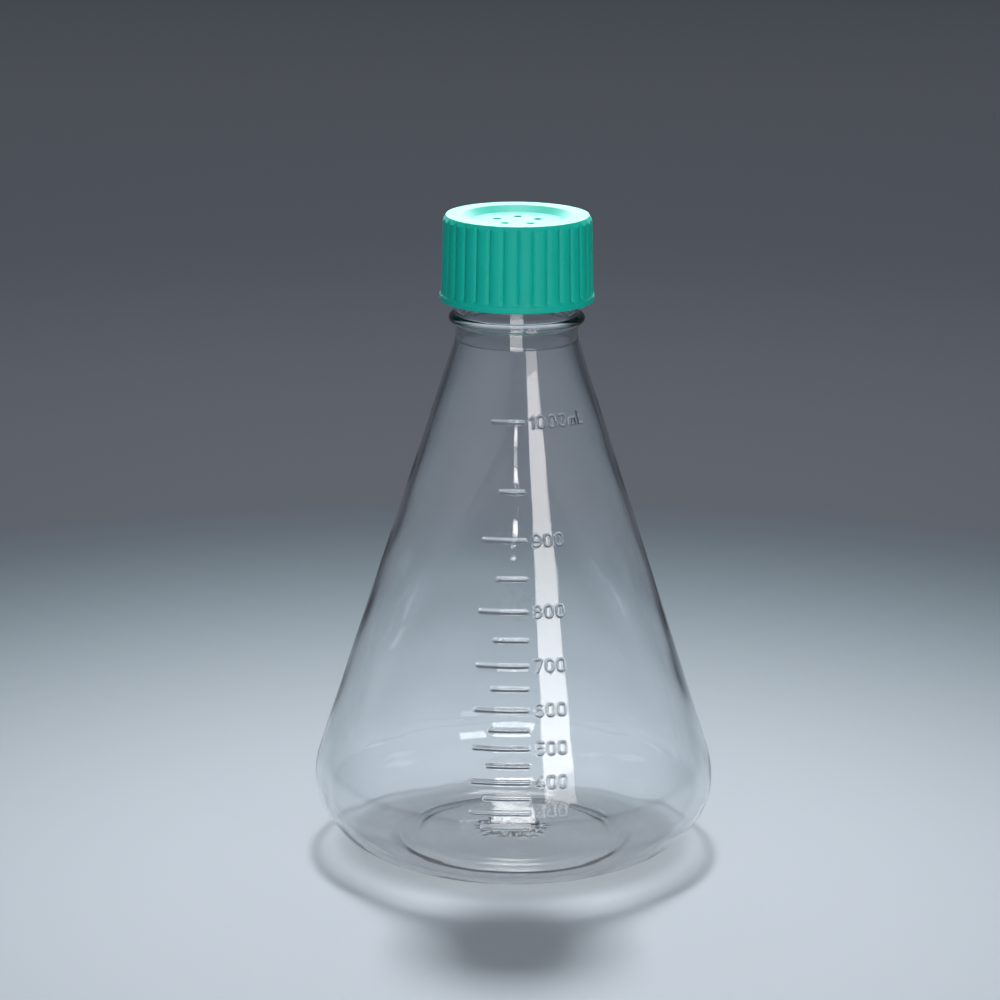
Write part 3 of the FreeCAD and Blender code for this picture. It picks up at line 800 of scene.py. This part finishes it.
def clear_plastic():
    """Clear moulded plastic: it bends light, keeps faint moulding streaks and lets lamps through."""
    m, nodes, links = material("clear_plastic")
    out = node(nodes, "ShaderNodeOutputMaterial")
    glass = node(nodes, "ShaderNodeBsdfPrincipled")
    glass.inputs["Transmission Weight"].default_value = 1.0
    glass.inputs["IOR"].default_value = 1.57
    where = node(nodes, "ShaderNodeTexCoord")
    stretch = node(nodes, "ShaderNodeMapping")
    stretch.inputs["Scale"].default_value = (1, 1, 0.25)
    streaks = node(nodes, "ShaderNodeTexNoise")
    streaks.inputs["Scale"].default_value = 220
    streaks.inputs["Detail"].default_value = 3
    links.new(where.outputs["Object"], stretch.inputs["Vector"])
    links.new(stretch.outputs["Vector"], streaks.inputs["Vector"])
    rough = node(nodes, "ShaderNodeMapRange")
    rough.inputs["To Min"].default_value = 0.0
    rough.inputs["To Max"].default_value = 0.05
    links.new(streaks.outputs["Fac"], rough.inputs["Value"])
    links.new(rough.outputs["Result"], glass.inputs["Roughness"])
    tint = node(nodes, "ShaderNodeMix", data_type="RGBA")
    tint.inputs["A"].default_value = (0.965, 0.985, 0.995, 1)
    tint.inputs["B"].default_value = (0.985, 0.995, 1.0, 1)
    links.new(streaks.outputs["Fac"], tint.inputs["Factor"])
    links.new(tint.outputs["Result"], glass.inputs["Base Color"])
    bump = node(nodes, "ShaderNodeBump")
    bump.inputs["Strength"].default_value = 0.02
    bump.inputs["Distance"].default_value = 0.0004
    links.new(streaks.outputs["Fac"], bump.inputs["Height"])
    links.new(bump.outputs["Normal"], glass.inputs["Normal"])
    facing = node(nodes, "ShaderNodeLayerWeight")
    facing.inputs["Blend"].default_value = 0.35
    shade = node(nodes, "ShaderNodeMix", data_type="RGBA")
    shade.inputs["A"].default_value = (1.0, 1.0, 1.0, 1)
    shade.inputs["B"].default_value = (0.0, 0.01, 0.02, 1)
    grazing = node(nodes, "ShaderNodeMath", operation="POWER")
    grazing.inputs[1].default_value = 4.0
    links.new(facing.outputs["Facing"], grazing.inputs[0])
    links.new(grazing.outputs["Value"], shade.inputs["Factor"])
    split = node(nodes, "ShaderNodeSeparateXYZ")
    links.new(where.outputs["Object"], split.inputs["Vector"])
    base = node(nodes, "ShaderNodeMapRange")
    base.inputs["From Min"].default_value = 0.004
    base.inputs["From Max"].default_value = 0.009
    base.inputs["To Min"].default_value = 0.72
    base.inputs["To Max"].default_value = 1.0
    links.new(split.outputs["Z"], base.inputs["Value"])
    thick = node(nodes, "ShaderNodeVectorMath", operation="SCALE")
    links.new(shade.outputs["Result"], thick.inputs[0])
    links.new(base.outputs["Result"], thick.inputs["Scale"])
    through = node(nodes, "ShaderNodeBsdfTransparent")
    links.new(thick.outputs["Vector"], through.inputs["Color"])
    path = node(nodes, "ShaderNodeLightPath")
    surface = glass.outputs["BSDF"]
    for kind in ("Is Diffuse Ray", "Is Shadow Ray"):
        mix = node(nodes, "ShaderNodeMixShader")
        links.new(path.outputs[kind], mix.inputs[0])
        links.new(surface, mix.inputs[1])
        links.new(through.outputs["BSDF"], mix.inputs[2])
        surface = mix.outputs["Shader"]
    links.new(surface, out.inputs["Surface"])
    return m


def cap_plastic():
    """Dyed polyolefin with a satin moulded skin."""
    m, nodes, links = material("cap_plastic")
    out = node(nodes, "ShaderNodeOutputMaterial")
    skin = node(nodes, "ShaderNodeBsdfPrincipled")
    skin.inputs["IOR"].default_value = 1.49
    skin.inputs["Specular IOR Level"].default_value = 0.22
    skin.inputs["Subsurface Weight"].default_value = 0.1
    skin.inputs["Subsurface Radius"].default_value = (0.2, 1.0, 0.8)
    skin.inputs["Subsurface Scale"].default_value = 0.0015
    where = node(nodes, "ShaderNodeTexCoord")
    cloud = node(nodes, "ShaderNodeTexNoise")
    cloud.inputs["Scale"].default_value = 90
    cloud.inputs["Detail"].default_value = 4
    links.new(where.outputs["Object"], cloud.inputs["Vector"])
    colour = node(nodes, "ShaderNodeMix", data_type="RGBA")
    colour.inputs["A"].default_value = (0.0, 0.33, 0.25, 1)
    colour.inputs["B"].default_value = (0.0, 0.39, 0.30, 1)
    links.new(cloud.outputs["Fac"], colour.inputs["Factor"])
    links.new(colour.outputs["Result"], skin.inputs["Base Color"])
    grain = node(nodes, "ShaderNodeTexNoise")
    grain.inputs["Scale"].default_value = 2600
    grain.inputs["Detail"].default_value = 2
    links.new(where.outputs["Object"], grain.inputs["Vector"])
    rough = node(nodes, "ShaderNodeMapRange")
    rough.inputs["To Min"].default_value = 0.46
    rough.inputs["To Max"].default_value = 0.56
    links.new(cloud.outputs["Fac"], rough.inputs["Value"])
    links.new(rough.outputs["Result"], skin.inputs["Roughness"])
    bump = node(nodes, "ShaderNodeBump")
    bump.inputs["Strength"].default_value = 0.12
    bump.inputs["Distance"].default_value = 0.0001
    links.new(grain.outputs["Fac"], bump.inputs["Height"])
    links.new(bump.outputs["Normal"], skin.inputs["Normal"])
    links.new(skin.outputs["BSDF"], out.inputs["Surface"])
    return m


def simple_surface(name, dark, light, roughness, scale, bump_strength, sheen=0.0, subsurface=0.0):
    """A dull or waxy surface with a fine irregular texture."""
    m, nodes, links = material(name)
    out = node(nodes, "ShaderNodeOutputMaterial")
    skin = node(nodes, "ShaderNodeBsdfPrincipled")
    skin.inputs["Sheen Weight"].default_value = sheen
    skin.inputs["Subsurface Weight"].default_value = subsurface
    skin.inputs["Subsurface Scale"].default_value = 0.001
    where = node(nodes, "ShaderNodeTexCoord")
    grain = node(nodes, "ShaderNodeTexNoise")
    grain.inputs["Scale"].default_value = scale
    grain.inputs["Detail"].default_value = 6
    links.new(where.outputs["Object"], grain.inputs["Vector"])
    colour = node(nodes, "ShaderNodeMix", data_type="RGBA")
    colour.inputs["A"].default_value = dark
    colour.inputs["B"].default_value = light
    links.new(grain.outputs["Fac"], colour.inputs["Factor"])
    links.new(colour.outputs["Result"], skin.inputs["Base Color"])
    rough = node(nodes, "ShaderNodeMapRange")
    rough.inputs["To Min"].default_value = roughness - 0.08
    rough.inputs["To Max"].default_value = roughness + 0.08
    links.new(grain.outputs["Fac"], rough.inputs["Value"])
    links.new(rough.outputs["Result"], skin.inputs["Roughness"])
    bump = node(nodes, "ShaderNodeBump")
    bump.inputs["Strength"].default_value = bump_strength
    bump.inputs["Distance"].default_value = 0.0002
    links.new(grain.outputs["Fac"], bump.inputs["Height"])
    links.new(bump.outputs["Normal"], skin.inputs["Normal"])
    links.new(skin.outputs["BSDF"], out.inputs["Surface"])
    return m


# ---------------------------------------------------------------- stage, lights, camera

FLOOR_RADIUS = 4.0
POOL_CENTRE = (0.0, -0.08, 0.0)  # middle of the pool of light painted on the table
POOL_NEAR = 0.08  # distance from the pool's centre at which the painted light starts to fade
POOL_FAR = (0.51, 0.53, 0.53)  # distances at which its red, green and blue have fallen into painted shade
FAR_EDGE = (1.0, 2.3)  # distances between which the painted light on the table grows paler again
# Painted light: the table's own colour carries the pool of light, the shade round it and the paler far
# part.
TABLE_PAINTED_POOL_LIGHT = (0.40, 0.44, 0.48)
TABLE_PAINTED_SHADE = (0.063, 0.070, 0.085)
TABLE_PAINTED_FAR_LIGHT = (0.17, 0.18, 0.20)


def set_stops(ramp, stops):
    """Fills a colour ramp from stops whose places run from the first to the last."""
    while len(ramp.color_ramp.elements) < len(stops):
        ramp.color_ramp.elements.new(1.0)
    first = stops[0][0]
    last = stops[-1][0]
    for element, (place, colour) in zip(ramp.color_ramp.elements, stops):
        element.position = (place - first) / (last - first)
        element.color = (*colour, 1)


def faded(nodes, links, distance, edge, near, beyond):
    """Goes smoothly from one value to another over the two distances of an edge."""
    step = node(nodes, "ShaderNodeMapRange", interpolation_type="SMOOTHSTEP")
    step.inputs["From Min"].default_value = edge[0]
    step.inputs["From Max"].default_value = edge[1]
    step.inputs["To Min"].default_value = near
    step.inputs["To Max"].default_value = beyond
    links.new(distance, step.inputs["Value"])
    return step.outputs["Result"]


def floor_material():
    """Pale table painted with a pool of light, cooler painted shade round it and a slightly paler painted
    far part.
    """
    m, nodes, links = material("studio_floor")
    out = node(nodes, "ShaderNodeOutputMaterial")
    skin = node(nodes, "ShaderNodeBsdfPrincipled")
    skin.inputs["Roughness"].default_value = 0.75
    skin.inputs["Specular IOR Level"].default_value = 0.2
    where = node(nodes, "ShaderNodeTexCoord")
    length = node(nodes, "ShaderNodeVectorMath", operation="DISTANCE")
    length.inputs[1].default_value = POOL_CENTRE
    links.new(where.outputs["Object"], length.inputs[0])
    distance = length.outputs["Value"]
    colour = node(nodes, "ShaderNodeCombineColor")
    # Per channel: the painted pool of light fades into painted shade, then painted light rises again far
    # off.
    for channel, name in enumerate(("Red", "Green", "Blue")):
        shade = TABLE_PAINTED_SHADE[channel]
        pool_edge = (POOL_NEAR, POOL_FAR[channel])
        pool = faded(nodes, links, distance, pool_edge, TABLE_PAINTED_POOL_LIGHT[channel], shade)
        paler = faded(nodes, links, distance, FAR_EDGE, 0, TABLE_PAINTED_FAR_LIGHT[channel] - shade)
        total = node(nodes, "ShaderNodeMath", operation="ADD")
        links.new(pool, total.inputs[0])
        links.new(paler, total.inputs[1])
        links.new(total.outputs["Value"], colour.inputs[name])
    links.new(colour.outputs["Color"], skin.inputs["Base Color"])
    links.new(skin.outputs["BSDF"], out.inputs["Surface"])
    return m


def make_floor():
    mesh = bpy.data.meshes.new("studio_floor")
    sides = 96
    turns = [2 * math.pi * i / sides for i in range(sides)]
    ring = [(FLOOR_RADIUS * math.cos(t), FLOOR_RADIUS * math.sin(t), 0) for t in turns]
    mesh.from_pydata(ring, [], [list(range(sides))])
    floor = bpy.data.objects.new("studio_floor", mesh)
    floor.location.z = -0.00005
    bpy.context.scene.collection.objects.link(floor)
    mesh.materials.append(floor_material())


def area_light(name, place, target, width, height, watts, colour=(1, 1, 1), seen=True):
    data = bpy.data.lights.new(name, "AREA")
    data.shape = "RECTANGLE"
    data.size = width
    data.size_y = height
    data.energy = watts
    data.color = colour
    obj = bpy.data.objects.new(name, data)
    obj.location = place
    way = Vector(target) - Vector(place)
    obj.rotation_mode = "QUATERNION"
    obj.rotation_quaternion = way.to_track_quat("-Z", "Y")
    obj.visible_camera = False
    obj.visible_glossy = seen
    obj.visible_transmission = seen
    bpy.context.scene.collection.objects.link(obj)
    return obj


def polar(azimuth, elevation, distance, height=0.1):
    """A place round the flask; azimuth 0 is in front and 90 is to the right."""
    a = math.radians(azimuth)
    e = math.radians(elevation)
    flat = distance * math.cos(e)
    return (flat * math.sin(a), -flat * math.cos(a), height + distance * math.sin(e))


WARM_WHITE = (1, 0.96, 0.94)
CARD_AWAY = 0.8  # distance of the card and the glints in front of the flask
GLINTS = ((0.455, 0.012), (0.432, 0.007), (0.403, 0.006))  # height and size upward of each strip


def make_lights():
    middle = (0, 0, 0.1)
    area_light("key_from_behind", polar(180, 65, 1.3), middle, 0.16, 0.16, 22.0)
    area_light("sky_from_behind", polar(180, 42, 1.6), middle, 1.6, 0.9, 1.5, seen=False)
    softbox = polar(26.8, 16.8, 0.78, 0.125)
    area_light("softbox_right", softbox, (0, 0, 0.12), 0.25, 0.225, 0.8, WARM_WHITE)
    card_height = 0.138
    area_light("low_card", (0, -CARD_AWAY, card_height), (0, 0, card_height), 0.34, 0.228, 1.4)
    for height, tall in GLINTS:
        area_light(f"glint_{height}", (0, -CARD_AWAY, height), (0, 0, height - 0.3), 0.06, tall, 0.016)
    area_light("fill_above", polar(-20, 68, 1.8), middle, 1.6, 1.6, 0.5, seen=False)
    make_world()


def make_cap_lights(cap):
    """A broad panel behind that only the cap catches, as a sheen on its top, and a soft one in front."""
    only_cap = bpy.data.collections.new("lit_by_cap_panels")
    only_cap.objects.link(cap)
    level = (0, 0, 0.19)
    behind = area_light("cap_panel", polar(180, 24, 1.5, 0.19), level, 1.7, 0.9, 44.0)
    front = area_light("cap_front", polar(-15, 40, 1.2, 0.19), level, 0.9, 0.5, 2.0)
    for panel in (behind, front):
        panel.light_linking.receiver_collection = only_cap


# Colour of the room at the sine of each elevation: dark below the horizon, pale blue walls, soft ceiling.
ROOM_STOPS = (
    (-0.10, (0.06, 0.065, 0.075)),
    (-0.02, (0.20, 0.25, 0.31)),
    (0.05, (0.30, 0.36, 0.43)),
    (0.25, (0.28, 0.32, 0.37)),
    (0.60, (0.16, 0.17, 0.19)),
    (1.00, (0.34, 0.36, 0.39)),
)


def make_world():
    world = bpy.data.worlds.new("studio")
    bpy.context.scene.world = world
    world.use_nodes = True
    nodes = world.node_tree.nodes
    links = world.node_tree.links
    nodes.clear()
    out = node(nodes, "ShaderNodeOutputWorld")
    back = node(nodes, "ShaderNodeBackground")
    where = node(nodes, "ShaderNodeTexCoord")
    split = node(nodes, "ShaderNodeSeparateXYZ")
    share = node(nodes, "ShaderNodeMapRange")
    share.inputs["From Min"].default_value = ROOM_STOPS[0][0]
    ramp = node(nodes, "ShaderNodeValToRGB")
    set_stops(ramp, ROOM_STOPS)
    links.new(where.outputs["Generated"], split.inputs["Vector"])
    links.new(split.outputs["Z"], share.inputs["Value"])
    links.new(share.outputs["Result"], ramp.inputs["Fac"])
    side = node(nodes, "ShaderNodeMapRange")
    side.inputs["From Min"].default_value = -0.6
    side.inputs["From Max"].default_value = 0.5
    side.inputs["To Min"].default_value = 1.9
    side.inputs["To Max"].default_value = 0.25
    links.new(split.outputs["Y"], side.inputs["Value"])
    lit = node(nodes, "ShaderNodeVectorMath", operation="SCALE")
    links.new(ramp.outputs["Color"], lit.inputs[0])
    links.new(side.outputs["Result"], lit.inputs["Scale"])
    links.new(lit.outputs["Vector"], back.inputs["Color"])
    links.new(back.outputs["Background"], out.inputs["Surface"])


CAMERA_DISTANCE = 1.229
CAMERA_ELEVATION = math.radians(19.56)
CAMERA_PITCH = math.radians(14.46)
CAMERA_YAW = math.radians(0.242)
CAMERA_ROLL = 0.0064
CAMERA_LENS = 136.3
SENSOR = 36.0


def make_camera():
    data = bpy.data.cameras.new("camera")
    data.lens = CAMERA_LENS
    data.sensor_width = SENSOR
    camera = bpy.data.objects.new("camera", data)
    height = CAMERA_DISTANCE * math.sin(CAMERA_ELEVATION)
    camera.location = (0, -CAMERA_DISTANCE * math.cos(CAMERA_ELEVATION), height)
    turn = Matrix.Rotation(CAMERA_YAW, 4, "Z") @ Matrix.Rotation(math.pi / 2 - CAMERA_PITCH, 4, "X")
    turn = turn @ Matrix.Rotation(CAMERA_ROLL, 4, "Z")
    camera.rotation_mode = "QUATERNION"
    camera.rotation_quaternion = turn.to_quaternion()
    bpy.context.scene.collection.objects.link(camera)
    bpy.context.scene.camera = camera


# ---------------------------------------------------------------- assembly


def finish_piece(obj, body, replaced, surface):
    obj.data.materials.clear()
    obj.data.materials.append(surface)
    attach(obj, body)
    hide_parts(replaced)


make_camera()
make_floor()
make_lights()
bpy.context.scene.view_settings.view_transform = "Standard"

green = cap_plastic()
silicone_dark = (0.70, 0.73, 0.73, 1)
silicone_light = (0.80, 0.82, 0.82, 1)
silicone = simple_surface("silicone", silicone_dark, silicone_light, 0.5, 700, 0.15, subsurface=0.3)
film_dark = (0.82, 0.82, 0.80, 1)
film_light = (0.93, 0.93, 0.92, 1)
film = simple_surface("membrane_film", film_dark, film_light, 0.85, 3200, 0.5, sheen=0.2)

finish_piece(make_body(), "flask", "flask_body", clear_plastic())
cap = make_cap()
finish_piece(cap, "cap", "cap_shell", green)
make_cap_lights(cap)
finish_piece(make_membrane(), "cap", "vent_membrane", film)
clamp = make_ring("clamp_ring", CLAMP_INNER, node_radius("membrane_clamp_ring"), CLAMP_LOW, CLAMP_HIGH, 0.2)
finish_piece(clamp, "cap", "membrane_clamp_ring", green)
seal = make_ring("lip_seal", SEAL_INNER, node_radius("sealing_ring"), SEAL_LOW, SEAL_HIGH, 0.3)
finish_piece(seal, "seal", "sealing_ring", silicone)
